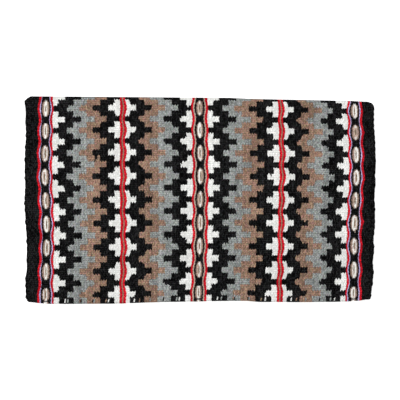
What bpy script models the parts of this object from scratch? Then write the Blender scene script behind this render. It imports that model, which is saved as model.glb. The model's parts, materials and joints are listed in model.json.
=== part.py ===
"""Western saddle blanket of woven wool, folded once along the spine and lying flat.

+X runs along the spine from the front edge to the rear edge, +Y points from the open side
edges to the fold, and +Z is up. The off side half lies on the ground. The near side half
lies on top of it and turns about the fold. Every colour band of the weave is a flat sleeve
of weft, and one warp cord runs to and fro through all the sleeves of each half. The borders
of the grey and the taupe bands zigzag, alike on both sides of the fold.
Lengths are in metres.
"""

import math

import bmesh
import bpy
from mathutils import Vector

# The folded cloth
spine_length = 0.864
folded_depth = 0.506
cloth_thickness = 0.008
clearance = 0.0003
corner_radius = 0.011
end_edge_radius = 0.0035

# The colour bands, counted along the spine
end_border_width = 0.0305
edge_line_width = 0.0107
bead_chain_width = 0.0196
cross_line_width = 0.0163
panel_shares = (0.2506, 0.2475, 0.2639, 0.2380)
panel_band_shares = (0.292, 0.215, 0.204, 0.289)

# The zigzags, whose points toward the bead chains are counted from the fold
zigzag_repeat = 0.057
zigzag_swing = 0.0355
first_point_distance = 0.024

# The warp inside the weft
warp_diameter = 0.0018
warp_pitch = 0.0048
warp_end_margin = 0.006
selvedge_wrap = 0.005

# Facets of the round stretches
selvedge_segments = 4
fold_segments = 5
warp_sides = 6
end_edge_step_shares = (1.0, 0.7, 0.4, 0.15, 0.0)
corner_step_shares = (1.0, 0.65)
cut_snap = 0.00001

# Worked out from the sizes above
seam_height = cloth_thickness + clearance / 2
fold_radius = cloth_thickness + clearance / 2
selvedge_y = -folded_depth / 2
fold_y = folded_depth / 2
hinge_point = Vector((0.0, fold_y + clearance / 2, seam_height))
channel_height = warp_diameter + 2 * clearance
channel_start = selvedge_y + selvedge_wrap
channel_end = fold_y - fold_radius
straight_start = selvedge_y + cloth_thickness / 2
straight_end = fold_y - fold_radius
zigzag_slope = 2 * zigzag_swing / zigzag_repeat
zigzag_gap = clearance * math.hypot(1.0, zigzag_slope)

wool_colours = {
    "black_wool": (0.012, 0.012, 0.013),
    "grey_wool": (0.27, 0.30, 0.30),
    "taupe_wool": (0.35, 0.22, 0.16),
    "red_wool": (0.62, 0.014, 0.022),
    "cream_wool": (0.74, 0.66, 0.58),
    "warp_yarn": (0.70, 0.66, 0.58),
}
wool_roughness = 0.95
panel_wools = (
    ("half_cross_ground", "black_wool"),
    ("grey_zigzag", "grey_wool"),
    ("taupe_zigzag", "taupe_wool"),
    ("cross_ground", "black_wool"),
)


def clear_scene():
    """Remove whatever the file opened with."""
    for scene_object in list(bpy.data.objects):
        bpy.data.objects.remove(scene_object)


def wool_material(name):
    """A plain wool of one colour, made once and shared by the bands woven with it."""
    material = bpy.data.materials.get(name)
    if material is None:
        material = bpy.data.materials.new(name)
        material.use_nodes = True
        surface = material.node_tree.nodes["Principled BSDF"]
        surface.inputs["Base Color"].default_value = (*wool_colours[name], 1.0)
        surface.inputs["Roughness"].default_value = wool_roughness
        surface.inputs["Metallic"].default_value = 0.0
    return material


def panel_width(panel_number):
    """A panel's share of the length that the borders, chains and lines leave."""
    bead_band_width = bead_chain_width + 2 * edge_line_width
    taken = 2 * end_border_width + 3 * bead_band_width + 2 * cross_line_width
    return (spine_length - taken) * panel_shares[panel_number - 1]


def panel_bands(panel_number, from_half_crosses):
    """The four bands between a bead chain and a line of crosses, in either order."""
    width = panel_width(panel_number)
    bands = []
    for (band, wool), share in zip(panel_wools, panel_band_shares):
        bands.append((f"panel_{panel_number}_{band}", wool, width * share))
    swings = (1, 1, 1, 0)
    if not from_half_crosses:
        bands.reverse()
        swings = (-1, -1, -1, 0)
    return [(*band, swing) for band, swing in zip(bands, swings)]


def bead_bands(place):
    """A chain of beads with a coloured line along each side of it."""
    return [
        (f"{place}_bead_line_before", "red_wool", edge_line_width, 0),
        (f"{place}_bead_chain", "cream_wool", bead_chain_width, 0),
        (f"{place}_bead_line_after", "red_wool", edge_line_width, 0),
    ]


def blanket_bands():
    """Every band from front to rear: its name, wool, width and how its rear border swings."""
    bands = [("front_end_border", "black_wool", end_border_width, 0)]
    bands += bead_bands("front")
    bands += panel_bands(1, True)
    bands += [("front_cross_line", "red_wool", cross_line_width, 0)]
    bands += panel_bands(2, False)
    bands += bead_bands("middle")
    bands += panel_bands(3, True)
    bands += [("rear_cross_line", "red_wool", cross_line_width, 0)]
    bands += panel_bands(4, False)
    bands += bead_bands("rear")
    bands += [("rear_end_border", "black_wool", end_border_width, 0)]
    return bands


def quarter_round_rise(distance, radius):
    """How far a rounded edge has fallen back at a distance in from its end."""
    if distance >= radius:
        return 0.0
    return radius - math.sqrt(radius ** 2 - (radius - distance) ** 2)


def cloth_outline(inset, setback):
    """Outline of the lower layer seen along the spine: side edge, underside, fold, top."""
    points = []
    side_radius = cloth_thickness / 2 - inset
    side_centre_y = selvedge_y + setback + cloth_thickness / 2
    for step in range(selvedge_segments + 1):
        angle = math.pi / 2 + math.pi * step / selvedge_segments
        y = side_centre_y + side_radius * math.cos(angle)
        z = cloth_thickness / 2 + side_radius * math.sin(angle)
        points.append((y, z))
    outer_radius = fold_radius - inset
    first_angle = -math.pi / 2
    last_angle = -math.asin((seam_height - cloth_thickness + inset) / outer_radius)
    for step in range(fold_segments + 1):
        angle = first_angle + (last_angle - first_angle) * step / fold_segments
        y = fold_y - setback - fold_radius + outer_radius * math.cos(angle)
        z = seam_height + outer_radius * math.sin(angle)
        points.append((y, z))
    return points


def channel_outline():
    """Outline of the warp's channel through the middle of the lower layer."""
    bottom = (cloth_thickness - channel_height) / 2
    top = bottom + channel_height
    return [(channel_start, bottom), (channel_end, bottom), (channel_end, top), (channel_start, top)]


def add_ring(bm, x, outline):
    """One closed loop of points across the spine direction."""
    return [bm.verts.new((x, y, z)) for y, z in outline]


def add_wall(bm, first_ring, second_ring):
    """The strip of faces between two rings of the same number of points."""
    count = len(first_ring)
    for index in range(count):
        following = (index + 1) % count
        corners = (first_ring[index], first_ring[following], second_ring[following], second_ring[index])
        bm.faces.new(corners)


def add_open_end(bm, outer_ring, channel_ring):
    """A flat end face, in facets above, below and beside the channel's open mouth."""
    bottom_start, bottom_end, top_end, top_start = channel_ring
    side_index = selvedge_segments // 2
    fold_index = selvedge_segments + 1 + (fold_segments + 1) // 2
    side_point = outer_ring[side_index]
    fold_point = outer_ring[fold_index]
    below = outer_ring[side_index:fold_index + 1]
    above = outer_ring[fold_index:] + outer_ring[:side_index + 1]
    bm.faces.new(below + [bottom_end, bottom_start])
    bm.faces.new(above + [top_start, top_end])
    bm.faces.new((side_point, bottom_start, top_start))
    bm.faces.new((fold_point, top_end, bottom_end))


def sleeve_between(front_x, rear_x):
    """A band in the middle of the blanket: the channel runs right through it."""
    bm = bmesh.new()
    outer_rings = [add_ring(bm, x, cloth_outline(0.0, 0.0)) for x in (front_x, rear_x)]
    channel_rings = [add_ring(bm, x, channel_outline()) for x in (front_x, rear_x)]
    add_wall(bm, *outer_rings)
    add_wall(bm, *channel_rings)
    add_open_end(bm, outer_rings[0], channel_rings[0])
    add_open_end(bm, outer_rings[1], channel_rings[1])
    return bm


def zigzag_turns():
    """The places along the cloth's straight stretch where the zigzags turn."""
    half_repeat = zigzag_repeat / 2
    turn = fold_y - first_point_distance
    turns = []
    while turn > straight_start:
        turns.append(turn)
        turn -= half_repeat
    return turns


def zigzag_shift(y):
    """How far along the spine a zigzag has swung at a place: half a swing each way."""
    held_y = min(max(y, straight_start), straight_end)
    repeats = (fold_y - held_y - first_point_distance) / zigzag_repeat
    past_point = abs(repeats - round(repeats))
    return zigzag_swing * (2 * past_point - 1 / 2)


def swing_borders(bm, middle_x, front_swing, rear_swing):
    """Cut a straight band across at each turn, then swing its front and rear borders."""
    for y in [straight_start, straight_end] + zigzag_turns():
        geometry = bm.verts[:] + bm.edges[:] + bm.faces[:]
        place = Vector((0.0, y, 0.0))
        bmesh.ops.bisect_plane(bm, geom=geometry, dist=cut_snap, plane_co=place, plane_no=(0.0, 1.0, 0.0))
    for vert in bm.verts:
        swing = front_swing if vert.co.x < middle_x else rear_swing
        vert.co.x += swing * zigzag_shift(vert.co.y)


def end_border_between(inner_x, end_x):
    """An end border: the channel is closed at the blanket's end, whose edges are rounded."""
    bm = bmesh.new()
    outward = 1.0 if end_x > inner_x else -1.0
    distances = [share * corner_radius for share in corner_step_shares]
    distances += [share * end_edge_radius for share in end_edge_step_shares]
    outer_rings = [add_ring(bm, inner_x, cloth_outline(0.0, 0.0))]
    for distance in distances:
        inset = quarter_round_rise(distance, end_edge_radius)
        setback = quarter_round_rise(distance, corner_radius)
        outer_rings.append(add_ring(bm, end_x - outward * distance, cloth_outline(inset, setback)))
    for first_ring, second_ring in zip(outer_rings, outer_rings[1:]):
        add_wall(bm, first_ring, second_ring)
    bm.faces.new(outer_rings[-1])
    channel_mouth = add_ring(bm, inner_x, channel_outline())
    channel_bottom = add_ring(bm, end_x - outward * warp_end_margin, channel_outline())
    add_wall(bm, channel_mouth, channel_bottom)
    bm.faces.new(channel_bottom)
    add_open_end(bm, outer_rings[0], channel_mouth)
    return bm


def warp_route(front_x, rear_x):
    """Corner points of the warp, laid to and fro along the spine at one even pitch."""
    edge_room = warp_diameter / 2 + clearance
    first_y = channel_start + edge_room
    last_y = channel_end - edge_room
    runs = int((last_y - first_y) / warp_pitch) + 1
    near_end = front_x + warp_end_margin + edge_room
    far_end = rear_x - warp_end_margin - edge_room
    route = []
    for run in range(runs):
        y = first_y + run * warp_pitch
        ends = (near_end, far_end) if run % 2 == 0 else (far_end, near_end)
        route += [Vector((x, y, cloth_thickness / 2)) for x in ends]
    return route


def warp_cord(front_x, rear_x):
    """The warp as one unbroken cord with mitred turns."""
    bm = bmesh.new()
    route = warp_route(front_x, rear_x)
    up = Vector((0.0, 0.0, 1.0))
    rings = []
    for index, point in enumerate(route):
        before = (point - route[max(index - 1, 0)]).normalized()
        after = (route[min(index + 1, len(route) - 1)] - point).normalized()
        tangent = (before + after).normalized()
        leg = before if before.length > 0 else after
        sideways = up.cross(tangent)
        mitre = 1.0 / max(tangent.dot(leg), math.cos(math.pi / 4))
        ring = []
        for side in range(warp_sides):
            angle = 2 * math.pi * side / warp_sides
            across = sideways * math.cos(angle) * mitre
            offset = (across + up * math.sin(angle)) * warp_diameter / 2
            ring.append(bm.verts.new(point + offset))
        rings.append(ring)
    for first_ring, second_ring in zip(rings, rings[1:]):
        add_wall(bm, first_ring, second_ring)
    bm.faces.new(rings[0])
    bm.faces.new(rings[-1])
    return bm


def add_piece(bm, name, wool, origin, parent):
    """Turn a lower-layer shape into an object, flipped into the upper layer if it has a parent."""
    if parent is not None:
        for vert in bm.verts:
            vert.co.z = 2 * seam_height - vert.co.z
    bmesh.ops.translate(bm, vec=-origin, verts=bm.verts)
    bmesh.ops.recalc_face_normals(bm, faces=bm.faces)
    mesh = bpy.data.meshes.new(name)
    bm.to_mesh(mesh)
    bm.free()
    mesh.materials.append(wool_material(wool))
    piece = bpy.data.objects.new(name, mesh)
    bpy.context.collection.objects.link(piece)
    piece.location = origin
    if parent is not None:
        piece.parent = parent
        piece.location = origin - parent.location
    return piece


def add_half(side, parent):
    """One half of the blanket: its bands of weft in order, and the warp through them."""
    bands = blanket_bands()
    front_x = -spine_length / 2
    rear_x = spine_length / 2
    start = front_x
    front_swing = 0
    for index, (band, wool, width, rear_swing) in enumerate(bands):
        front_gap = zigzag_gap if front_swing else clearance
        rear_gap = zigzag_gap if rear_swing else clearance
        left = start + (front_gap / 2 if index > 0 else 0.0)
        right = start + width - (rear_gap / 2 if index < len(bands) - 1 else 0.0)
        middle = (left + right) / 2
        if index == 0:
            bm = end_border_between(right, left)
        elif index == len(bands) - 1:
            bm = end_border_between(left, right)
        else:
            bm = sleeve_between(left, right)
        if front_swing or rear_swing:
            swing_borders(bm, middle, front_swing, rear_swing)
        origin = Vector((middle, 0.0, 0.0))
        if parent is not None:
            origin = Vector((middle, hinge_point.y, hinge_point.z))
        add_piece(bm, f"{side}_{band}", wool, origin, parent)
        start += width
        front_swing = rear_swing
    origin = Vector((0.0, 0.0, 0.0)) if parent is None else hinge_point
    add_piece(warp_cord(front_x, rear_x), f"{side}_warp", "warp_yarn", origin, parent)


def main():
    """Build the blanket: the off side half, the fold, and the near side half on it."""
    clear_scene()
    add_half("off", None)
    spine_fold = bpy.data.objects.new("spine_fold", None)
    bpy.context.collection.objects.link(spine_fold)
    spine_fold.location = hinge_point
    add_half("near", spine_fold)


main()
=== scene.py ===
# %% [markdown]
# # A woven wool saddle blanket, folded once
#
# A saddle blanket is weft-faced cloth. Thin warp cords run from the front end to the rear
# end, and thick soft wool is packed over them so tightly that only the wool shows. Every
# pass of the wool goes over one warp and under the next, so the face of the cloth is
# covered with short floats, laid like bricks. This lesson weaves that face float by float
# round a CAD frame that already has the right size and the right fold.

# %% Load the frame
import json
import math

import bmesh
import bpy
import numpy as np
from mathutils import Matrix, Vector


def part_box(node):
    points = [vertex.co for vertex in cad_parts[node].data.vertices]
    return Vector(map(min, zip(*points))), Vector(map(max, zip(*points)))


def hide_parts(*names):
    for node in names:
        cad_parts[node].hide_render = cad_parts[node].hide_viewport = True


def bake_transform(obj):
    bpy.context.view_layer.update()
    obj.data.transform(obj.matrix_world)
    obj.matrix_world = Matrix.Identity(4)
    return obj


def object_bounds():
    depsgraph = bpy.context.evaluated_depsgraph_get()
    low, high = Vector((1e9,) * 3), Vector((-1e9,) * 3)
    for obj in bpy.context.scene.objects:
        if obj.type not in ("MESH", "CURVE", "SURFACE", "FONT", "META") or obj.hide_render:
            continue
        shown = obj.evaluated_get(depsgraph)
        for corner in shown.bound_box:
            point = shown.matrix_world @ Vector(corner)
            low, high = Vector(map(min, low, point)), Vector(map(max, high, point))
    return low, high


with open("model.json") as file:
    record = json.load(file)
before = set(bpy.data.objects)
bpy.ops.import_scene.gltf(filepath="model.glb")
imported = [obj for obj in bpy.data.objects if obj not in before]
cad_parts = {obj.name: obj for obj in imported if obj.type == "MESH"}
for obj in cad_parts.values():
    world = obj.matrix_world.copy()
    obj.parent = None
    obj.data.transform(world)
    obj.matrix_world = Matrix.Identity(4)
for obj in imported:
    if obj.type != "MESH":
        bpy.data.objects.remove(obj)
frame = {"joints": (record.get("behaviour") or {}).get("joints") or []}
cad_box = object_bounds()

MM = 0.001
print("folded blanket:", [round(side, 4) for side in cad_box[1] - cad_box[0]], "m")

# %% [markdown]
# ## The sizes that the frame gives
#
# The two halves lie flat on each other and turn about one hinge, the fold. Everything that
# follows is measured from that hinge, from the ends of the blanket and from its open side.

# %% Read the main sizes
hinge = Vector(frame["joints"][0]["pos_m"])
front_end_x = cad_box[0].x
rear_end_x = cad_box[1].x
fold_radius = hinge.z
fold_centre_y = hinge.y - fold_radius
border_low, border_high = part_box("near_front_end_border")
edge_radius = (border_high.z - border_low.z) / 2
print("fold at y", round(hinge.y, 5), "with radius", round(fold_radius, 5))
print("edge radius", round(edge_radius, 5))

# %% [markdown]
# ## The lattice of the weave
#
# The weave is counted in ribs and picks. A rib is the ridge that one warp makes, and a pick
# is one pass of the wool. Ribs are counted from the open side to the fold, two rows of
# points to a rib: one on the rib's crown and one in the valley between two ribs.
# The pattern repeats every twelve ribs, and it is alike on both sides of the fold.

# %% Count the ribs
rib_count = 108
row_count = 2 * rib_count
rows = np.arange(row_count + 1)
ribs_from_fold = (row_count - rows) / 2
ribs_in_repeat = 12
first_bead_rib = 6.5
last_swaying_rib = 104.5
swaying_ribs = np.minimum(ribs_from_fold, last_swaying_rib)
wave = np.cos(2 * math.pi * (swaying_ribs - first_bead_rib) / ribs_in_repeat)
print(rib_count, "ribs on each half,", row_count + 1, "rows of points")

# %% [markdown]
# Wool cloth is never quite square. The rows of beads fan a little, and the open side is
# drawn in towards the rear. The tables give how far the rows of beads lie from the fold at
# five places along the blanket, and how far the open side does at fifteen. All are in
# millimetres. What lies between is interpolated, and so is the fourth row of beads. Two
# ribs before the first row of beads lie at a share of its distance.

# %% How far each bead row lies from the fold
fan_places = np.array([-379, -197, 0, 197, 358]) * MM
fan_reaches = {
    1: (32.0, 26.9, 25.8, 27.3, 30.3),
    2: (85.8, 81.1, 80.9, 81.4, 83.4),
    3: (141.2, 136.5, 137.1, 136.9, 138.3),
    5: (258.2, 253.7, 251.2, 251.9, 251.1),
    6: (315.7, 311.8, 308.5, 308.5, 306.9),
    7: (374.3, 371.0, 366.9, 366.1, 363.8),
    8: (433.1, 430.7, 425.2, 425.2, 422.8),
    9: (490.3, 488.5, 480.2, 482.4, 480.6),
}
side_places = np.array([
    -420, -379, -310, -197, -130, -50, 0, 50, 120, 150, 262, 358, 380, 400, 420,
]) * MM
side_reaches = (
    509, 512.8, 512.3, 510.8, 507.5, 504.9, 504.1, 502.2,
    501.5, 503.9, 503.6, 501.6, 500.2, 498.6, 496,
)
near_fold_rib_shares = ((2.0, 0.365), (5.0, 0.785))
fold_arc = fold_radius * math.pi / 2
arc_extra = fold_arc - fold_radius
side_turn_limit = math.radians(75)


def reach_at(x, reaches):
    """Distance from the fold at a place along the blanket, from a row of the table."""
    return np.interp(x, fan_places, reaches) * MM


def side_reach_at(x):
    """Distance from the fold to the open side at a place along the blanket."""
    return np.interp(x, side_places, side_reaches) * MM


def path_of_rows(x):
    """How far each row lies from the hinge, measured over the outside of the cloth."""
    first = reach_at(x, fan_reaches[1]) + arc_extra
    ribs = [0.0] + [rib for rib, share in near_fold_rib_shares]
    paths = [0.0] + [first * share for rib, share in near_fold_rib_shares]
    for bead, reaches in fan_reaches.items():
        ribs.append(first_bead_rib + (bead - 1) * ribs_in_repeat)
        paths.append(reach_at(x, reaches) + arc_extra)
    ribs.append(rib_count)
    paths.append(side_reach_at(x) - edge_radius + arc_extra + edge_radius * side_turn_limit)
    return np.interp(ribs_from_fold, ribs, paths)


middle_path = path_of_rows(0.0)
rib_pitch = float(middle_path[rib_count] - middle_path[rib_count + 2])
print("rib pitch near the middle:", round(rib_pitch / MM, 2), "mm")

# %% [markdown]
# ## Lines that sway
#
# The coloured lines beside the beads bend in and out once a repeat, because the wool of a
# bead pushes them aside. The sway ends a few ribs before the open side. The lines also drift
# a little over the depth of the blanket, as hand-laid wool does. Each line is a base place,
# a drift that is given for the nine rows of beads, from the fold to the open side, a sway
# and for some a shift, all in millimetres. On the last red line two short bulges show where
# the yarn lies loose.

# %% The lines along the blanket
bead_rows = rib_count // ribs_in_repeat
bead_ribs = first_bead_rib + ribs_in_repeat * np.arange(bead_rows)
front_first_drift = (-1.3, -1.7, -2.7, -2.9, 0.0, 2.4, 3.6, 1.2, 0.8)
front_second_drift = (-2.1, -2.6, -2.7, -2.8, 0.3, 3.0, 3.0, 2.2, 2.6)
front_cross_drift = (-1.8, -1.3, -1.0, -0.2, -0.1, 1.7, 2.4, 1.8, 0.7)
middle_first_drift = (-2.6, -1.7, -0.3, 1.4, 1.1, 1.5, 0.9, -0.5, -1.3)
middle_second_drift = (-1.8, -0.5, 1.2, 1.5, 0.9, 1.0, 0.6, -0.5, -1.9)
rear_cross_drift = (-0.5, 1.2, 3.4, 4.0, 2.3, 1.9, 1.8, 0.8, -0.6)
rear_first_drift = (-2.5, 0.5, 1.9, 4.0, 1.0, -1.3, -1.3, -0.8, -2.3)
rear_second_drift = (-3.0, 0.0, 1.9, 3.5, 0.8, -0.5, -1.2, -1.0, -1.8)
red_width = 6.2 * MM
line_inset = 1.6 * MM


def knot(at_rib, height, half_ribs):
    """A short bulge in a line, where the yarn lies loose, one value for each row."""
    return height * MM * np.clip(1 - np.abs(ribs_from_fold - at_rib) / half_ribs, 0.0, 1.0)


short_knot = knot(at_rib=18.5, height=2.6, half_ribs=1.0)
long_knot = knot(at_rib=65.8, height=2.6, half_ribs=2.0)
rear_knots = short_knot + long_knot


def line(base, drift, sway, shift=0.0):
    """Places of a line, one for each row, in metres along the blanket."""
    swayed = base + sway * MM * wave
    return swayed + np.interp(ribs_from_fold, bead_ribs, drift) * MM + shift * MM


def first_red_line(place, drift, sway, shift=0.0):
    """The line before a bead chain."""
    low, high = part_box(f"near_{place}_bead_line_before")
    return line(low.x + line_inset + red_width / 2, drift, sway, shift)


def second_red_line(place, drift, sway, shift=0.0):
    """The line after a bead chain."""
    low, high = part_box(f"near_{place}_bead_line_after")
    return line(high.x - red_width / 2, drift, sway, shift)


def cross_line(place, drift, sway):
    """The line through the white crosses."""
    low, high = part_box(f"near_{place}_cross_line")
    return line((low.x + high.x) / 2, drift, sway)


red_lines = {
    "front": (
        first_red_line("front", front_first_drift, sway=-2.2, shift=0.7),
        second_red_line("front", front_second_drift, sway=1.8, shift=-0.8),
    ),
    "middle": (
        first_red_line("middle", middle_first_drift, sway=-1.8),
        second_red_line("middle", middle_second_drift, sway=1.6),
    ),
    "rear": (
        first_red_line("rear", rear_first_drift, sway=-2.0, shift=0.6),
        second_red_line("rear", rear_second_drift, sway=1.8) + rear_knots / 2,
    ),
}
cross_lines = {
    "front": cross_line("front", front_cross_drift, sway=1.7),
    "rear": cross_line("rear", rear_cross_drift, sway=1.8),
}
for place, (first, second) in red_lines.items():
    print(place, "red lines at", round(first.mean(), 4), "and", round(second.mean(), 4))

# %% [markdown]
# The lines are broader between the beads or at them, as the yarn has more room or less. Each
# width is a base and a share of the same wave, for the line before a bead chain and for the
# one after it, but the last red line has one width and its bulges. A finer yarn edges the
# red on the side of the beads. The lines through the crosses are two reds with a peach yarn
# between them.

# %% How wide the lines are
red_widths = {
    "front": ((5.6 - 0.7 * wave) * MM, (5.0 - 1.1 * wave) * MM),
    "middle": ((5.3 - 0.7 * wave) * MM, (5.8 - 0.6 * wave) * MM),
    "rear": ((4.5 - 1.3 * wave) * MM, 5.5 * MM + rear_knots),
}
edge_yarn_widths = {
    "front": ((1.7 + 1.45 * wave) * MM, (2.1 + 0.5 * wave) * MM),
    "middle": ((2.9 + 0.3 * wave) * MM, (2.9 + 0.3 * wave) * MM),
    "rear": ((2.1 + 0.3 * wave) * MM, (2.1 + 0.6 * wave) * MM),
}
cross_half_widths = {
    "front": (14.5 + 2.1 * wave) / 2 * MM,
    "rear": (13.8 + 1.8 * wave) / 2 * MM,
}
cross_peach_width = 3.0 * MM
for place, half_width in cross_half_widths.items():
    widths = (half_width * 2 / MM).round(1)
    print(place, "cross line", widths.min(), "to", widths.max(), "mm wide")

# %% [markdown]
# A bead is a lens: widest in its middle, with blunt tips. Its half width follows a cosine
# over its half length, and between two beads the same picks carry a black block. The beads
# of the middle chain are more slender. The ribs at a bead's tips are beaten closer together.

# %% The width of a bead along its length
bead_half_length_ribs = 4.5
bead_tip_widths = {"front": 5.8 * MM, "middle": 5.0 * MM, "rear": 5.8 * MM}
bead_belly = 3.1 * MM
bead_squeeze = 1.8 * MM
squeeze_reach_ribs = 1.5


def ribs_past(ribs):
    """Ribs past the nearest row of beads, towards the open side."""
    return (ribs - first_bead_rib + ribs_in_repeat / 2) % ribs_in_repeat - ribs_in_repeat / 2


past_bead_ribs = ribs_past(ribs_from_fold)
bead_share = np.minimum(np.abs(past_bead_ribs) / bead_half_length_ribs, 1.0)
tip_distance = np.abs(np.abs(past_bead_ribs) - bead_half_length_ribs)
squeeze_share = np.clip(1 - tip_distance / squeeze_reach_ribs, 0.0, 1.0)
row_squeeze = -np.sign(past_bead_ribs) * bead_squeeze * squeeze_share
bead_half_widths = {}
for place, tip_width in bead_tip_widths.items():
    bead_half_widths[place] = tip_width + bead_belly * np.cos(bead_share * math.pi / 2)
    print(place, "beads", round(bead_half_widths[place].max() * 2 / MM, 1), "mm wide")

# %% [markdown]
# ## The ends of the blanket
#
# The wool turns back at the ends in small humps. The corners are soft: the front corner at
# the fold is cut off a little, the others are round, and the rear end leans in. Each end
# also drifts by a few millimetres, which the tables give for some twenty ribs, counted
# from the fold.

# %% The two ends, row by row
front_drift_ribs = (
    2, 4.5, 8, 13, 18, 23, 28, 33, 37, 43, 49, 55, 60, 66, 71, 77, 82, 88, 91, 94, 97, 101, 105,
)
front_end_drift = (
    -4.3, -2.8, 0.0, -1.1, 0.8, 0.8, -0.8, -1.1, -1.9, -0.7, 0.0, -1.7,
    -0.1, 1.6, 3.5, 5.5, 4.7, 5.6, 4.8, 1.7, 3.3, 3.4, 4.0,
)
rear_drift_ribs = (
    3, 8, 14, 18, 22, 28, 34, 38, 41, 45, 50, 54, 58, 66, 72, 76, 80, 87, 92, 96, 100, 104,
)
rear_end_drift = (
    -4.0, -4.0, -4.2, -2.5, -1.1, 0.2, 1.7, 1.3, -0.6, 1.0, -0.4,
    -1.5, 0.3, 0.7, -1.7, -2.6, -1.0, -4.4, -1.4, -3.7, -6.3, -7.8,
)
end_hump = 2.6 * MM
hump_half_ribs = 1.6
hump_dip_share = 0.2
hump_ribs = np.arange(0, rib_count + 2 * hump_half_ribs, hump_half_ribs)
hump_seed = 4
hump_random = np.random.default_rng(hump_seed)
front_fold_chamfer = (15 * MM, 12 * MM)
rear_fold_corner = 17 * MM
front_side_corner = 12 * MM
rear_side_corner = 8 * MM


def humps():
    """Uneven humps along an end, one value for each row."""
    heights = hump_random.uniform(0.0, 1.0, len(hump_ribs))
    heights[::2] *= hump_dip_share
    return np.interp(ribs_from_fold, hump_ribs, heights - heights.mean()) * end_hump


def round_corner(distance, radius):
    """How far a round corner falls back at a distance in from the edge."""
    into = np.clip(1 - distance / radius, 0.0, 1.0)
    return radius * (1 - np.sqrt(1 - into ** 2))


def depths_at(x):
    """Distance of each row from the fold edge and from the open side, seen from above."""
    path = path_of_rows(x)
    fold_turn = np.clip(1 - path / fold_arc, 0.0, 1.0) * math.pi / 2
    from_fold = np.maximum(path - arc_extra, fold_radius * (1 - np.sin(fold_turn)))
    return from_fold, np.maximum(side_reach_at(x) - from_fold, 0.0)


front_from_fold, front_from_side = depths_at(front_end_x)
rear_from_fold, rear_from_side = depths_at(rear_end_x)
chamfer_length, chamfer_depth = front_fold_chamfer
front_dip = chamfer_length * np.clip(1 - front_from_fold / chamfer_depth, 0.0, None)
front_dip += round_corner(front_from_side, front_side_corner)
rear_dip = round_corner(rear_from_fold, rear_fold_corner)
rear_dip += round_corner(rear_from_side, rear_side_corner)
front_end = front_end_x + np.interp(ribs_from_fold, front_drift_ribs, front_end_drift) * MM
front_end += front_dip - humps()
rear_end = rear_end_x + np.interp(ribs_from_fold, rear_drift_ribs, rear_end_drift) * MM
rear_end += humps() - rear_dip
print("ends at", round(front_end.min(), 4), "and", round(rear_end.max(), 4))

# %% [markdown]
# ## Strips of picks
#
# From the front end to the rear end, the picks fall into strips: a border, a coloured line,
# a chain of beads, a patterned panel and so on. A strip has a number of picks and a rear
# edge that sways with its line. Between two edges the picks share the room evenly, and two
# strips meet halfway between two picks.

# %% Lay out the strips
half_pick = 0.5
border_picks = {"front": 20, "rear": 18}
panel_picks = {"panel_1": 100, "panel_2": 98, "panel_3": 106, "panel_4": 94}
red_picks = 4
edge_yarn_picks = 2
ground_picks = 2
bead_picks = 14
strips = []
strip_picks = [half_pick]
strip_edges = [front_end]


def add_strip(kind, picks, rear_edge):
    """Add a strip behind the last one."""
    start = strips[-1][2] if strips else 0
    strips.append((kind, start, start + picks))
    strip_picks.append(start + picks + half_pick)
    strip_edges.append(rear_edge)


def add_bead_band(place, edge_yarn):
    """A bead chain between its two coloured lines."""
    first, second = red_lines[place]
    first_half, second_half = (width / 2 for width in red_widths[place])
    first_edge, second_edge = edge_yarn_widths[place]
    middle = (first + second) / 2
    bead_half_width = bead_half_widths[place]
    add_strip(f"{place}_first_red", red_picks, first + first_half)
    add_strip(f"{place}_first_{edge_yarn}", edge_yarn_picks, first + first_half + first_edge)
    add_strip(f"{place}_bead_ground", ground_picks, middle - bead_half_width)
    add_strip(f"{place}_bead", bead_picks, middle + bead_half_width)
    add_strip(f"{place}_bead_ground", ground_picks, second - second_half - second_edge)
    add_strip(f"{place}_second_{edge_yarn}", edge_yarn_picks, second - second_half)
    add_strip(f"{place}_second_red", red_picks, second + second_half)


def add_cross_line(place):
    """Two red yarns with a peach one between them."""
    middle = cross_lines[place]
    add_strip(f"{place}_cross_first_red", red_picks, middle - cross_peach_width / 2)
    add_strip(f"{place}_cross_peach", red_picks, middle + cross_peach_width / 2)
    add_strip(f"{place}_cross_second_red", red_picks, middle + cross_half_widths[place])


def before_beads(place):
    """Where a bead band begins."""
    return red_lines[place][0] - red_widths[place][0] / 2


def before_cross_line(place):
    """Where a line through the crosses begins."""
    return cross_lines[place] - cross_half_widths[place]


add_strip("front_border", border_picks["front"], before_beads("front"))
add_bead_band("front", "lilac")
add_strip("panel_1", panel_picks["panel_1"], before_cross_line("front"))
add_cross_line("front")
add_strip("panel_2", panel_picks["panel_2"], before_beads("middle"))
add_bead_band("middle", "blush")
add_strip("panel_3", panel_picks["panel_3"], before_cross_line("rear"))
add_cross_line("rear")
add_strip("panel_4", panel_picks["panel_4"], before_beads("rear"))
add_bead_band("rear", "lilac")
add_strip("rear_border", border_picks["rear"], rear_end)
pick_count = strips[-1][2]
strip_picks[-1] = pick_count
strip_picks[0] = 0
print(len(strips), "strips,", pick_count, "picks")

# %% [markdown]
# ## Which wool shows where
#
# Inside a panel, colours change in steps, and the weaver counts picks for them: so many
# black, so many grey, so many taupe, from the bead chain towards the middle of the crosses.
# There are three kinds of row: one with the beads, one with the widest part of the half
# crosses, and one between them. Each is three ribs deep. The tables give the wools of a row
# and the picks at which they change, so a row is read as it is woven.

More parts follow.
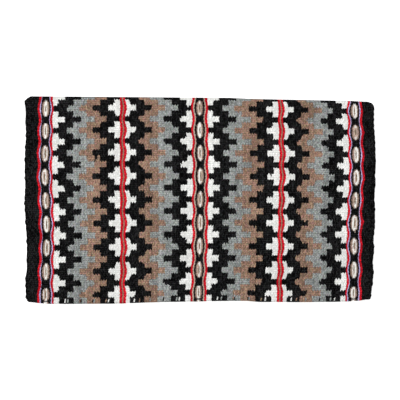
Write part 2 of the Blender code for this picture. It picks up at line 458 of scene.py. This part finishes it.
# %% The steps of the pattern
whole_row = ("half_cross_white", "half_cross_black", "grey", "taupe", "cross_black", "cross_white")
row_colours = {
    "bead_row": whole_row[1:],
    "between_row": whole_row,
    "half_cross_row": whole_row[:-1],
}
panel_steps = {
    ("panel_1", "bead_row"): (20, 38, 58, 82),
    ("panel_1", "between_row"): (8, 30, 50, 70, 92),
    ("panel_1", "half_cross_row"): (18, 42, 62, 80),
    ("panel_2", "bead_row"): (20, 40, 60, 84),
    ("panel_2", "between_row"): (8, 30, 50, 70, 92),
    ("panel_2", "half_cross_row"): (18, 42, 62, 78),
    ("panel_3", "bead_row"): (22, 40, 62, 88),
    ("panel_3", "between_row"): (8, 32, 52, 74, 98),
    ("panel_3", "half_cross_row"): (18, 44, 66, 84),
    ("panel_4", "bead_row"): (22, 38, 58, 80),
    ("panel_4", "between_row"): (8, 30, 50, 68, 88),
    ("panel_4", "half_cross_row"): (18, 40, 60, 74),
}
row_kind_limits = ((1.5, "bead_row"), (4.5, "between_row"), (6.5, "half_cross_row"))
half_rib = 0.5


def ribs_past_bead_row(rib):
    """Ribs from the middle of a rib to the nearest row of beads."""
    return abs(ribs_past(rib_count - rib - half_rib))


def row_kind(past_bead):
    """The kind of pattern row at a distance from a row of beads."""
    for limit, kind in row_kind_limits:
        if past_bead < limit:
            return kind
    return row_kind_limits[-1][1]


def panel_wool(kind, picks_in, row):
    """The wool of a float in a panel, given its picks from the bead chain."""
    step = sum(picks_in > limit for limit in panel_steps[kind, row])
    return f"{kind}_{row_colours[row][step]}"


print(len(panel_steps), "rows of steps, for", len(panel_picks), "panels")

# %% [markdown]
# Now and then a weaver turns a float early or late, so a few floats at the edge of an arm
# stray. In the first panel some black floats slip down between the taupe ones, fewer in each
# rib. At the open side the pattern stops halfway through its next rows, and the yarn ends of
# their arms are darned in there and show as specks. Drawing the faults from one seeded
# source keeps the cloth the same in each run.

# %% Faults in the weave
stray_seed = 3
stray_random = np.random.default_rng(stray_seed)
stray_chance = 0.005
corner_chance = 0.12
corner_shift = (0, -2, 2, 0, -2, 2, 0)
slipped_picks = {73: (63, 64), 74: (63, 65), 75: (62, 66)}
darned_reach = (0, 2, 2)


def darned_wool(kind, picks_in, reach):
    """The wool at the open side, where the arms of the next rows end in specks."""
    plain = panel_wool(kind, picks_in, "between_row")
    for row, way in (("half_cross_row", reach), ("bead_row", -reach)):
        speck = panel_wool(kind, picks_in, row)
        if speck != plain and panel_wool(kind, picks_in + way, row) != speck:
            return speck
    return plain


def has_slipped(kind, picks_in, rib):
    """Whether a float is one of the black ones that slipped down."""
    if kind != "panel_1" or rib not in slipped_picks:
        return False
    first, last = slipped_picks[rib]
    return first <= picks_in <= last


print("darned specks in", len(darned_reach), "ribs, slipped floats in", len(slipped_picks))

# %% [markdown]
# A bead is pale with a dark core, and its rim is tan. The table gives its yarns from the
# middle of the bead to its tip, and in each row from the middle to the rim. Here and there a
# blush yarn comes out paler and makes a streak along the bead. The last bead at the open
# side is squashed, and a remnant of the next one shows in the outermost rib.

# %% The yarns of a bead
bead_yarns = (
    ("core", "blush", "blush", "tan"),
    ("core", "blush", "blush", "tan"),
    ("blush", "blush", "blush", "tan"),
    ("cream", "cream", "blush", "tan"),
    ("cream", "blush", "tan", "ground"),
)
streak_chances = (0.35, 0.65, 0.35, 0.0)
last_bead_ribs = 11
last_bead_squash = {"front_bead": 1.4, "middle_bead": 1.15, "rear_bead": 1.4}
remnant_ribs_past = 3
bead_slots = range(1 - bead_picks // 2, bead_picks // 2, 2)
bead_streaks = set()
for place in red_lines:
    for bead in range(bead_rows):
        for slot in bead_slots:
            if stray_random.random() < streak_chances[abs(slot) // 2]:
                bead_streaks.add((f"{place}_bead", bead, slot))


def bead_wool(kind, picks_from_middle, rib):
    """The wool of a float in a bead chain, from the table of the bead's yarns."""
    past_bead = ribs_past_bead_row(rib)
    if rib < last_bead_ribs:
        past_bead *= last_bead_squash[kind]
    if rib == 0:
        past_bead = remnant_ribs_past
    if past_bead > bead_half_length_ribs:
        return f"{kind}_ground"
    yarn = bead_yarns[int(past_bead)][abs(picks_from_middle) // 2]
    if yarn == "blush" and (kind, rib // ribs_in_repeat, picks_from_middle) in bead_streaks:
        yarn = "cream"
    return f"{kind}_{yarn}"


print(len(bead_streaks), "pale streaks in the beads")

# %% [markdown]
# Now the wool of any float can be told from its strip, its pick and its rib. Picks are
# counted from the bead chain, so the panels behind a line of crosses count backwards.

# %% The wool of a float
def wool_at(strip, pick, rib):
    """The name of the wool that a float shows."""
    kind, start, end = strip
    middle = pick if pick % 2 else pick - 1
    if kind.endswith("bead"):
        return bead_wool(kind, middle - (start + end) // 2, rib)
    if not kind.startswith("panel"):
        return kind
    picks_in = middle - start if kind in ("panel_1", "panel_3") else end - middle
    if rib < len(darned_reach):
        return darned_wool(kind, picks_in, darned_reach[rib])
    if has_slipped(kind, picks_in, rib):
        return "panel_1_cross_black"
    past_bead = ribs_past_bead_row(rib)
    if stray_random.random() < corner_chance:
        picks_in += corner_shift[int(past_bead)]
    return panel_wool(kind, picks_in, row_kind(past_bead))


# %% [markdown]
# A float covers two picks' width and one rib, and the floats of the next rib are set over by
# one pick. So a float is centred on an even pick on even ribs, and on an odd one on odd
# ribs. The map below gives every cell of the lattice the wool of the float it belongs to.

# %% Map the wools
strip_of_pick = []
for strip in strips:
    strip_of_pick += [strip] * (strip[2] + 1 - len(strip_of_pick))
float_wools = {}
for rib in range(rib_count):
    for pick in range(rib % 2, pick_count + 1, 2):
        stray = int(stray_random.random() < stray_chance)
        float_wools[pick, rib] = wool_at(strip_of_pick[pick], pick, rib + stray)
wool_names = sorted(set(float_wools.values()))
wool_numbers = {name: number for number, name in enumerate(wool_names)}
cell_wool = np.zeros((pick_count, row_count), dtype=int)
for row in range(row_count):
    rib = row // 2
    for cell in range(pick_count):
        cell_wool[cell, row] = wool_numbers[float_wools[cell + (cell + rib) % 2, rib]]
print(len(float_wools), "floats in", len(wool_names), "areas of wool")

# %% [markdown]
# ## From the lattice to the cloth
#
# Now every point of the lattice gets its place in space. Along the blanket it follows the
# strips. The points on a crown lean over by half a pick, so an edge between two colours is a
# little ragged, but not a saw. In a panel the picks aren't packed quite evenly: a bow shifts
# the middle of the panel, and a swing shifts its two halves against each other. The table
# gives both in millimetres.

# %% Places along the blanket
picks = np.arange(pick_count + 1)
float_lean_picks = 0.5
panel_easing = {
    "panel_1": (1.0, 0.1),
    "panel_2": (0.0, -0.2),
    "panel_3": (-1.2, 0.0),
    "panel_4": (0.0, -1.0),
}
lattice_shape = (pick_count + 1, row_count + 1)
along = np.zeros(lattice_shape)
for row in range(row_count + 1):
    rib = row // 2
    lean = 0.0
    if row % 2:
        lean = float_lean_picks if rib % 2 else -float_lean_picks
    edges = [edge[row] for edge in strip_edges]
    along[:, row] = np.interp(picks + lean, strip_picks, edges)
    along[0, row], along[-1, row] = edges[0], edges[-1]
for kind, start, end in strips:
    if kind in panel_easing:
        share = (picks[start:end + 1, None] - start) / (end - start)
        bow, swing = panel_easing[kind]
        shift = bow * np.sin(math.pi * share) + swing * np.sin(2 * math.pi * share)
        along[start:end + 1] += shift * MM
print("pick width", round(float(np.diff(along[:, rib_count]).mean()) / MM, 2), "mm")

# %% [markdown]
# Across the blanket, a point follows the path round the fold, over the flat face and round
# the open side. A float is a pillow: high in its middle, low at its sides, and pointed at its
# ends, where it dives between its neighbours. Hand-packed floats bite into each other by more
# here and less there, so the valleys between the ribs wander like uneven teeth.

# %% Places across the blanket
crown_rise = 0.7 * MM
side_fall = -0.6 * MM
valley_fall = -0.6 * MM
float_point = 0.5 * MM
tooth_height = 2.2 * MM
tooth_shares = (0.1, 1.2)
tooth_picks = 4
tooth_run_picks = 14
tooth_phase_swing = 1.5
tooth_seed = 2
path = np.zeros(lattice_shape)
for pick in range(pick_count + 1):
    path[pick] = path_of_rows(along[pick, rib_count])
crowned = (picks[:, None] + rows[None, :] // 2) % 2 == 0
odd_row = (rows % 2 == 1)[None, :]
rise = np.where(odd_row, np.where(crowned, crown_rise, side_fall), valley_fall)
point_shift = np.where(crowned, float_point, -float_point)
tooth_random = np.random.default_rng(tooth_seed)
run_starts = np.arange(0, pick_count + tooth_run_picks, tooth_run_picks)
for row in range(2, row_count, 2):
    row_phase = tooth_random.uniform(0, 2 * math.pi, 1)
    phases = row_phase + tooth_random.uniform(-tooth_phase_swing, tooth_phase_swing, len(run_starts))
    heights = tooth_height * tooth_random.uniform(*tooth_shares, len(run_starts))
    turn = 2 * math.pi * picks / tooth_picks + np.interp(picks, run_starts, phases)
    path[:, row] += point_shift[:, row] + np.interp(picks, run_starts, heights) * np.cos(turn)
for kind, start, end in strips:
    if kind.endswith("_bead"):
        path[start:end + 1, 2:-2] += row_squeeze[2:-2]
print("path over the cloth", round(float(path[:, 0].max()), 4), "m at most")

# %% [markdown]
# The outside turns by a quarter round at the fold and by a little less at the open side.
# The inside lies flat against the other half, with its relief turned inwards. Nothing but
# the last row reaches the hinge, so the halves don't cut each other when they are opened.

# %% Outer and inner faces
seam_lap = 1.2 * MM
inner_gap = 0.15 * MM
hinge_gap = 0.05 * MM
side_reach = side_reach_at(along[:, rib_count])[:, None]
flat_end = side_reach - edge_radius + arc_extra
fold_turn = np.clip(1 - path / fold_arc, 0.0, 1.0) * math.pi / 2
side_turn = np.clip((path - flat_end) / edge_radius, 0.0, None)
flat_y = fold_centre_y - np.clip(path - fold_arc, 0.0, flat_end - fold_arc)
side_drop = edge_radius * (1 - np.cos(side_turn))
outer_radius = fold_radius + rise
outer_y = flat_y + outer_radius * np.sin(fold_turn) - (edge_radius + rise) * np.sin(side_turn)
outer_z = fold_radius + outer_radius * np.cos(fold_turn) - side_drop - rise * (1 - np.cos(side_turn))
inner_y = flat_y + (fold_radius - seam_lap) * np.sin(fold_turn) - edge_radius * np.sin(side_turn)
inner_z = fold_radius + inner_gap + (crown_rise - rise) + side_drop
outer_y = np.minimum(outer_y, hinge.y - hinge_gap)
outer_y[:, -1] = hinge.y
outer_z[:, -1] = fold_radius
inner_z[:, -1] = fold_radius + inner_gap
print("outer face up to", round(float(outer_z.max()), 4), "m")

# %% [markdown]
# At the two ends the cloth thins out like the side of a cord. Towards the rear end the fold
# draws back by a few millimetres, and the cloth beside it follows it less and less.

# %% Thin ends and a drawn-back fold
end_wall_share = math.cos(math.radians(15))
droop_depth = 60 * MM
droop_power = 1.5
droop_places = np.array([70, 130, 230, 330, 375, 400, 425]) * MM
droop_drops = np.array([0.0, 2.3, 3.6, 5.0, 5.6, 7.0, 8.0]) * MM
end_distance = np.minimum(along - along[:1], along[-1:] - along)
thin = np.sqrt(1 - (end_wall_share * np.clip(1 - end_distance / edge_radius, 0.0, 1.0)) ** 2)
middle_y = (outer_y + inner_y) / 2
middle_z = (outer_z + inner_z) / 2
droop_share = np.clip(1 - path / droop_depth, 0.0, 1.0) ** droop_power
droop = np.interp(along, droop_places, droop_drops) * droop_share
cloth = np.zeros((2, *lattice_shape, 3))
for layer, (face_y, face_z) in enumerate(((outer_y, outer_z), (inner_y, inner_z))):
    cloth[layer, :, :, 0] = along
    cloth[layer, :, :, 1] = middle_y + (face_y - middle_y) * thin - droop
    cloth[layer, :, :, 2] = middle_z + (face_z - middle_z) * thin
print("cloth from", cloth.min(axis=(0, 1, 2)).round(4), "to", cloth.max(axis=(0, 1, 2)).round(4))

# %% [markdown]
# ## The colour of single floats
#
# Hand-spun wool takes dye unevenly, so each float is a little lighter or darker than the
# next, and a pick keeps some of its tone for a long way. Over a few centimetres the tone
# drifts as well. Light and shade are painted into the tone too: a painted highlight on the
# crown of each float, painted shade in the dips between the floats, and painted shade on
# the fold, where the cloth turns away from the light. The tone is kept as an attribute of
# the mesh, because it follows the yarn and not the space that the blanket lies in.

# %% Tones
tone_seed = 5
# Painted shade in the dips between the floats, and a painted highlight on their crowns.
side_painted_shade = -0.6
valley_painted_shade = -1.25
crown_painted_highlight = 0.4
pick_tone_spread = 0.2
drift_spread = 0.22
drift_picks = 9
drift_rows = 14
dip_share = 0.5
# Painted shade on the fold, where the cloth turns away from the light.
fold_painted_shade = -1.7
fold_shade_depth = 9 * MM
random = np.random.default_rng(tone_seed)
float_tone = random.normal(0.0, 1.0, lattice_shape)
pick_tone = random.normal(0.0, pick_tone_spread, (pick_count + 1, 1))
dip_painted_shade = np.where(odd_row, side_painted_shade, valley_painted_shade)
# Painted highlight on the crowns and painted shade in the dips; the next line adds painted shade at
# the fold.
tone = np.where(odd_row & crowned, float_tone + crown_painted_highlight, dip_share * float_tone + dip_painted_shade)
tone += pick_tone + fold_painted_shade * np.clip(1 - path / fold_shade_depth, 0.0, 1.0)
drift_at_picks = np.arange(0, pick_count + drift_picks, drift_picks)
drift_at_rows = np.arange(0, row_count + drift_rows, drift_rows)
drift_knots = random.normal(0.0, drift_spread, (len(drift_at_picks), len(drift_at_rows)))
drift_lines = np.array([np.interp(rows, drift_at_rows, knots) for knots in drift_knots])
tone += np.array([np.interp(picks, drift_at_picks, values) for values in drift_lines.T]).T
print("tones from", round(float(tone.min()), 2), "to", round(float(tone.max()), 2))

# %% [markdown]
# ## Wool
#
# The wools differ in colour and in how much their fibres are mixed, but they are finished
# alike: long fine streaks along the yarn, a soft mottle from the blending, a rough surface
# with a faint sheen, and a bump from the same fibres. One function makes them all. Its
# helper takes a node's input by name or, where names repeat, as the letter i and a number.

# %% A node helper
def add_node(tree, kind, settings=None, **inputs):
    """Add a shader node, set its options and inputs, and link the inputs that are sockets."""
    node = tree.nodes.new(kind)
    for name, value in (settings or {}).items():
        setattr(node, name, value)
    for name, value in inputs.items():
        numbered = name[0] == "i" and name[1:].isdigit()
        socket = node.inputs[int(name[1:]) if numbered else name]
        if isinstance(value, bpy.types.NodeSocket):
            tree.links.new(value, socket)
        else:
            socket.default_value = value
    return node


def maths(tree, kind, operation, *values, **settings):
    """Add a maths node for numbers or vectors, and give its result."""
    inputs = {f"i{number}": value for number, value in enumerate(values)}
    return add_node(tree, kind, {"operation": operation, **settings}, **inputs).outputs[0]


def noise(tree, place, scale, detail):
    """Add a noise that is stretched by a scale for each axis."""
    stretched = add_node(tree, "ShaderNodeMapping", Vector=place, Scale=scale).outputs[0]
    return add_node(tree, "ShaderNodeTexNoise", Vector=stretched, Scale=1.0, Detail=detail)


# %% One wool
fibre_scale = (1400.0, 220.0, 1400.0)
mottle_scale = (420.0, 300.0, 420.0)
heather_scale = (240.0, 170.0, 240.0)
fibre_detail = 3.0
blend_detail = 2.0
middle_of_noise = 0.5
fibre_height = 0.3 * MM
fibre_strength = 0.5
least_roughness = 0.82
wool_gloss = 0.06
sheen_roughness = 0.6


def wool_material(name, dark, light, heather, tone_strength=0.3, mottle_strength=1.0, sheen=0.04):
    """A yarn whose colour runs between a dark and a light shade, heathered with other hues."""
    material = bpy.data.materials.new(name)
    material.use_nodes = True
    tree = material.node_tree
    surface = tree.nodes["Principled BSDF"]
    place = add_node(tree, "ShaderNodeTexCoord").outputs["Object"]
    fibre = noise(tree, place, fibre_scale, fibre_detail).outputs["Fac"]
    mottle = noise(tree, place, mottle_scale, blend_detail).outputs["Fac"]
    hues = noise(tree, place, heather_scale, blend_detail).outputs["Color"]
    # The tone attribute holds the random tone of the yarn with painted shade and painted highlight,
    # and moves the colour between the dark and the light shade.
    tone_node = add_node(tree, "ShaderNodeAttribute", {"attribute_name": "tone_and_painted_shade"})
    number, vector = "ShaderNodeMath", "ShaderNodeVectorMath"
    from_tone = maths(tree, number, "MULTIPLY", tone_node.outputs["Fac"], tone_strength)
    centred = maths(tree, number, "SUBTRACT", mottle, middle_of_noise)
    mottled = maths(tree, number, "MULTIPLY_ADD", centred, mottle_strength, from_tone)
    shade = maths(tree, number, "ADD", mottled, fibre, use_clamp=True)
    mix = add_node(
        tree, "ShaderNodeMix", {"data_type": "RGBA"}, i0=shade, i6=(*dark, 1), i7=(*light, 1),
    )
    least_hue = (1 - heather / 2,) * 3
    spread = maths(tree, vector, "MULTIPLY_ADD", hues, (heather,) * 3, least_hue)
    colour = maths(tree, vector, "MULTIPLY", mix.outputs[2], spread)
    rough = add_node(
        tree, "ShaderNodeMapRange", Value=fibre, **{"To Min": least_roughness, "To Max": 1.0},
    )
    bump = add_node(
        tree, "ShaderNodeBump", Height=fibre, Strength=fibre_strength, Distance=fibre_height,
    )
    tree.links.new(colour, surface.inputs["Base Color"])
    tree.links.new(rough.outputs[0], surface.inputs["Roughness"])
    tree.links.new(bump.outputs[0], surface.inputs["Normal"])
    surface.inputs["Specular IOR Level"].default_value = wool_gloss
    surface.inputs["Sheen Weight"].default_value = sheen
    surface.inputs["Sheen Roughness"].default_value = sheen_roughness
    return material


# %% [markdown]
# The blanket has eleven dyed or natural wools and a warp cord. Each is given its darkest and
# its lightest shade, how strongly other hues are blended in, and where it isn't like the
# rest, how far its tone and its mottle reach and how much it shines at a grazing angle.

# %% The wools of this blanket
wools = {
    "black": wool_material("black_yarn", (0.0, 0.0, 0.0), (0.027, 0.027, 0.028), 0.8, 0.5, 1.5, 0.0),
    "white": wool_material(
        "white_yarn", (0.58, 0.585, 0.565), (1.0, 1.0, 0.975), 0.12, 0.45, sheen=0.0,
    ),
    "grey": wool_material("grey_yarn", (0.122, 0.130, 0.126), (0.494, 0.518, 0.504), 0.4, 0.31),
    "taupe": wool_material("taupe_yarn", (0.124, 0.0765, 0.0535), (0.525, 0.334, 0.241), 0.7, 0.31),
    "red": wool_material(
        "red_yarn", (0.34, 0.0034, 0.0102), (0.98, 0.0206, 0.0405), 0.7, 0.55, 1.5, 0.0,
    ),
    "lilac": wool_material("lilac_yarn", (0.34, 0.29, 0.52), (0.78, 0.70, 0.98), 0.3),
    "peach": wool_material("peach_yarn", (0.22, 0.12, 0.085), (0.62, 0.36, 0.27), 0.5),
    "tan": wool_material("tan_yarn", (0.16, 0.10, 0.075), (0.46, 0.315, 0.25), 0.5),
    "blush": wool_material("blush_yarn", (0.34, 0.25, 0.20), (0.72, 0.57, 0.48), 0.4),
    "cream": wool_material("cream_yarn", (0.70, 0.68, 0.64), (1.0, 0.98, 0.94), 0.1),
    "core": wool_material("dark_tan_yarn", (0.12, 0.085, 0.055), (0.34, 0.25, 0.17), 0.5),
    "warp": wool_material("warp_cord", (0.42, 0.38, 0.30), (0.72, 0.68, 0.58), 0.1),
}
print(len(wools), "wools")

# %% [markdown]
# ## Near the fold
#
# The fold isn't quite straight: behind the middle beads it draws back from the hinge. Each
# piece has its placement baked into its mesh, and the line a finger's width in from the
# fold is worked out for it, sloping behind the middle beads as the fold does.

# %% Near the fold
side_bodies = {"near": "near_side", "off": "off_side"}
turning_width = 14 * MM
fold_slope = 0.0155
slope_strip = [kind for kind, start, end in strips].index("panel_3")
slope_start_pick = strips[slope_strip][1]
behind_middle = ("panel_3", "panel_4", "rear_")


def turn_with_fold(piece, side, slopes):
    """Work out the line a finger's width in from the fold, and bake the piece's placement into its
    mesh.
    """
    inwards = Vector((-fold_slope if slopes else 0.0, -1.0, 0.0)).normalized() * turning_width
    if side == "off":
        inwards = -inwards
    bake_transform(piece)


# %% [markdown]
# ## Cutting out an area of wool
#
# Each area of one wool is a piece of its own. It starts as a flat grid in lattice counts,
# one unit to a pick and a row. The cells of other wools are deleted, the rest is extruded
# downwards for the thickness, and every corner is then carried to its place in the cloth.
# Two neighbours share the same corners, so they meet without a gap.

# %% Weave a piece
sharp_angle = math.radians(70)


def lattice_grid(cells):
    """A bmesh with one face for every cell that is set."""
    columns, lines = np.nonzero(cells)
    start = np.array((columns.min(), lines.min()))
    size = np.array((columns.max() + 1, lines.max() + 1)) - start
    bm = bmesh.new()
    stretch = Matrix.Diagonal((*(size / 2), 1.0, 1.0))
    place = Matrix.Translation((*(start + size / 2), 0.0)) @ stretch
    across, down = (int(count) for count in size)
    bmesh.ops.create_grid(bm, x_segments=across, y_segments=down, size=1.0, matrix=place)
    spare = []
    for face in bm.faces:
        middle = face.calc_center_median()
        if not cells[int(middle.x), int(middle.y)]:
            spare.append(face)
    bmesh.ops.delete(bm, geom=spare, context="FACES")
    return bm


def thicken(bm):
    """Extrude the lattice faces into a closed body one unit thick."""
    made = bmesh.ops.extrude_face_region(bm, geom=bm.faces[:], use_keep_orig=True)
    lower = [item for item in made["geom"] if isinstance(item, bmesh.types.BMVert)]
    bmesh.ops.translate(bm, vec=(0.0, 0.0, -1.0), verts=lower)
    bmesh.ops.recalc_face_normals(bm, faces=bm.faces[:])


def finish_piece(name, mesh, material, side, slopes):
    """Make the object, shade it smooth and bake its placement into its mesh."""
    mesh.materials.append(material)
    mesh.shade_smooth()
    mesh.set_sharp_from_angle(angle=sharp_angle)
    piece = bpy.data.objects.new(name, mesh)
    bpy.context.scene.collection.objects.link(piece)
    turn_with_fold(piece, side, slopes)
    return piece


def carry_to_cloth(mesh, side):
    """Move every lattice corner to its place, mirrored in the fold for the off side."""
    corners = np.zeros(len(mesh.vertices) * 3, np.float32)
    mesh.vertices.foreach_get("co", corners)
    lattice = np.rint(corners.reshape(-1, 3)).astype(int)
    places = cloth[-lattice[:, 2], lattice[:, 0], lattice[:, 1]].copy()
    if side == "off":
        places[:, 2] = 2 * hinge.z - places[:, 2]
        mesh.flip_normals()
    mesh.vertices.foreach_set("co", places.astype(np.float32).ravel())
    # The tone stored here holds random tone, painted shade and painted highlight.
    tones = mesh.attributes.new("tone_and_painted_shade", "FLOAT", "POINT")
    tones.data.foreach_set("value", tone[lattice[:, 0], lattice[:, 1]].astype(np.float32))
    mesh.update()


def weave(area):
    """Weave one area of wool on both halves."""
    bm = lattice_grid(cell_wool == wool_numbers[area])
    thicken(bm)
    colour = area.rsplit("_", 1)[1]
    wool = wools[yarn_of.get(colour, colour)]
    slopes = area.startswith(behind_middle)
    for side in side_bodies:
        mesh = bpy.data.meshes.new(f"{side}_{area}_weft")
        bm.to_mesh(mesh)
        carry_to_cloth(mesh, side)
        pieces[f"{side}_{area}"] = finish_piece(mesh.name, mesh, wool, side, slopes)
    bm.free()


yarn_of = {"border": "black", "ground": "black"}
pieces = {}
for area in wool_names:
    weave(area)
face_count = sum(len(piece.data.polygons) for piece in pieces.values())
print(len(pieces), "pieces,", face_count * 2, "triangles")

# %% [markdown]
# ## What each piece stands for
#
# Every woven area takes the place of a plain band of the frame. The white and the black
# wool of a cross share one band, and so do the wools of a bead and those of a line.

# %% Replace the plain bands
band_of_colour = {
    "white": "ground",
    "black": "ground",
    "grey": "grey_zigzag",
    "taupe": "taupe_zigzag",
}


def node_of(area):
    """The frame's band that an area of wool stands for."""
    words = area.split("_")
    if words[-1] == "border":
        return f"{words[0]}_end_border"
    if words[0] == "panel":
        return "_".join(words[:-1] + [band_of_colour[words[-1]]])
    if "cross" in words:
        return f"{words[0]}_cross_line"
    if "bead" in words:
        return f"{words[0]}_bead_chain"
    return f"{words[0]}_bead_line_{'before' if words[1] == 'first' else 'after'}"


for area in wool_names:
    for side in side_bodies:
        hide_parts(f"{side}_{node_of(area)}")
print(len({node_of(area) for area in wool_names}), "bands replaced on each half")

# %% [markdown]
# ## The warp
#
# Inside a rib runs one warp cord, from end to end. A cord is a curve with a round
# section, and its points lie halfway between the outside and the inside of the cloth, so it
# follows each sway of the wool around it. The outermost ribs, at the open side and at the
# fold, are too thin to hide one and have none. The curves become two meshes on each half,
# one before and one behind the place where the fold starts to slope.

# %% Lay the warp
warp_radius = 1.1 * MM
warp_end_picks = 5
warp_points = 19
warp_parts = {
    "front": (warp_end_picks, slope_start_pick),
    "rear": (slope_start_pick, pick_count - warp_end_picks),
}
least_cover = 1.4 * MM
away_from_ends = (end_distance > edge_radius).all(axis=1)
thickness = np.linalg.norm(cloth[0] - cloth[1], axis=2)[away_from_ends].min(axis=0)
least_thickness = 2 * (warp_radius + least_cover)
warp_rows = [row for row in range(1, row_count, 2) if thickness[row] > least_thickness]
print(len(warp_rows), "cords on each half, from row", warp_rows[0], "to row", warp_rows[-1])


def warp_cords(part):
    """A mesh of the cords of the near half, between two picks."""
    used_picks = np.linspace(*warp_parts[part], warp_points).round().astype(int)
    curve = bpy.data.curves.new("warp_cords", "CURVE")
    curve.dimensions = "3D"
    curve.bevel_depth = warp_radius
    curve.bevel_resolution = 1
    curve.use_fill_caps = True
    for row in warp_rows:
        middles = cloth[:, used_picks, row].mean(axis=0)
        spline = curve.splines.new("POLY")
        spline.points.add(len(middles) - 1)
        for point, middle in zip(spline.points, middles):
            point.co = (*middle, 1.0)
    cords = bpy.data.objects.new("warp_cords", curve)
    mesh = bpy.data.meshes.new_from_object(cords)
    bpy.data.objects.remove(cords)
    return mesh


mirror_in_fold = Matrix.Translation((0.0, 0.0, 2 * hinge.z)) @ Matrix.Diagonal((1.0, 1.0, -1.0, 1.0))
for side in side_bodies:
    for part in warp_parts:
        mesh = warp_cords(part)
        mesh.name = f"{side}_{part}_warp_cords"
        if side == "off":
            mesh.transform(mirror_in_fold)
            mesh.flip_normals()
        warp = finish_piece(mesh.name, mesh, wools["warp"], side, part == "rear")
        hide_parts(f"{side}_warp")
        print(mesh.name, len(mesh.polygons), "faces")

# %% [markdown]
# ## The flat size of the borders
#
# Each half is one sheet, woven in many wools. For each half, the width, the length and the
# area of its two end borders are worked out as they lie when laid out flat, and the width
# and the length are printed. The table names the wools that go with each border: the front
# border those up to the middle beads, the rear border the rest.

cell_areas = np.abs(np.diff(along, axis=0)[:, :-1]) * np.abs(np.diff(path, axis=1)[:-1])
areas_of_border = {
    "front_border": ("front_", "panel_1", "panel_2", "middle_"),
    "rear_border": ("panel_3", "panel_4", "rear_"),
}


def flat_size(area):
    """The width, length and area of an area of wool that is laid out flat."""
    cells = cell_wool == wool_numbers[area]
    used_picks, used_rows = np.nonzero(cells)
    columns = slice(used_picks.min(), used_picks.max() + 2)
    lines = slice(used_rows.min(), used_rows.max() + 2)
    width = float(np.ptp(along[columns, lines]))
    length = float(np.ptp(path[columns, lines]))
    return width, length, float(cell_areas[cells].sum())


for side in ("off", "near"):
    for border, beginnings in areas_of_border.items():
        width, length, flat_area = flat_size(border)
        print(side, border, round(width, 4), "by", round(length, 4), "m")

# %% [markdown]
# ## Floor, light and camera
#
# The blanket is seen straight from above on a pale floor in soft, even light. The floor glows
# a little, as a light table does, so no shadow shows round the cloth. A long lens keeps the
# far edges from leaning, and the camera is rolled by a hair, because the blanket didn't lie
# quite level.

# %% The floor
floor_size = 8.0
floor_drop = 1.5 * MM
floor_roughness = 0.9
light_table_glow = 0.5
paper_white = (0.93, 0.93, 0.93, 1.0)
pure_white = (1.0, 1.0, 1.0, 1.0)
bm = bmesh.new()
bmesh.ops.create_grid(bm, x_segments=1, y_segments=1, size=floor_size / 2)
floor_mesh = bpy.data.meshes.new("studio_floor")
bm.to_mesh(floor_mesh)
bm.free()
floor = bpy.data.objects.new("studio_floor", floor_mesh)
bpy.context.scene.collection.objects.link(floor)
floor.location.z = -floor_drop
floor_material = bpy.data.materials.new("pale_floor")
floor_material.use_nodes = True
floor_surface = floor_material.node_tree.nodes["Principled BSDF"]
floor_surface.inputs["Base Color"].default_value = paper_white
floor_surface.inputs["Roughness"].default_value = floor_roughness
floor_surface.inputs["Emission Color"].default_value = pure_white
floor_surface.inputs["Emission Strength"].default_value = light_table_glow
floor_mesh.materials.append(floor_material)
print("floor", floor_size, "m wide")

# %% The light
room_light = 0.62
softbox_watts = 66.0
softbox_size = 2.8
softbox_place = Vector((-0.7, 0.7, 2.6))
world = bpy.data.worlds.new("soft_studio")
bpy.context.scene.world = world
world.use_nodes = True
background = world.node_tree.nodes["Background"]
background.inputs["Color"].default_value = pure_white
background.inputs["Strength"].default_value = room_light
panel_light = bpy.data.lights.new("softbox", "AREA")
panel_light.energy = softbox_watts
panel_light.size = softbox_size
softbox = bpy.data.objects.new("softbox", panel_light)
bpy.context.scene.collection.objects.link(softbox)
softbox.location = softbox_place
softbox.rotation_euler = (-softbox_place).to_track_quat("-Z", "Y").to_euler()
print("softbox", round(softbox_place.length, 2), "m away")

# %% The camera
picture_pixels = 400
metres_a_pixel = 2.465 * MM
camera_roll = math.radians(0.45)
lens_length = 100.0
sensor_width = 36.0
camera_data = bpy.data.cameras.new("camera")
camera_data.lens = lens_length
camera_data.sensor_width = sensor_width
camera = bpy.data.objects.new("camera", camera_data)
bpy.context.scene.collection.objects.link(camera)
distance = picture_pixels * metres_a_pixel * lens_length / sensor_width
camera.location = (0.0, 0.0, cad_box[1].z + distance)
camera.rotation_euler = (0.0, 0.0, camera_roll)
bpy.context.scene.camera = camera
bpy.context.scene.view_settings.view_transform = "Standard"
print("camera height", round(camera.location.z, 3), "m")
